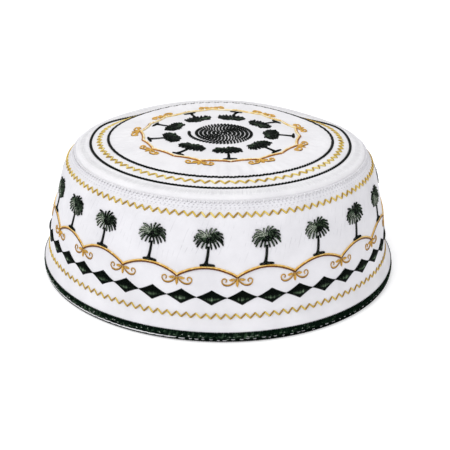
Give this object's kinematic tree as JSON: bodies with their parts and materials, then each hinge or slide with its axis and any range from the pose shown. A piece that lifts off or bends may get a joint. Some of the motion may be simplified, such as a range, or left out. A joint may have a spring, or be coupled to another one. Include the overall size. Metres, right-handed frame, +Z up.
{
  "type": "prayer cap",
  "caption": "Round brimless prayer cap of stiffened white cotton with a tapering band, a gently domed crown and a bound rim, open underneath.",
  "frame": {"origin": "centre of the round rim, on the surface that the cap rests on", "axes": "+Z up through the middle of the crown, -Y towards the front as pictured, +X to the right"},
  "size_m": [0.184, 0.184, 0.0677],
  "materials": {
    "white_cotton": "fine plain-woven white cotton, stiffened",
    "dark_green_thread": "dark green embroidery thread with a soft sheen",
    "gold_thread": "golden yellow embroidery thread with a soft sheen",
    "brown_thread": "golden brown embroidery thread with a soft sheen",
    "white_thread": "white sewing thread"
  },
  "bodies": {
    "root": {"side_band": "white_cotton", "crown_top": "white_cotton", "rim_binding": "dark_green_thread"}
  },
  "joints": []
}
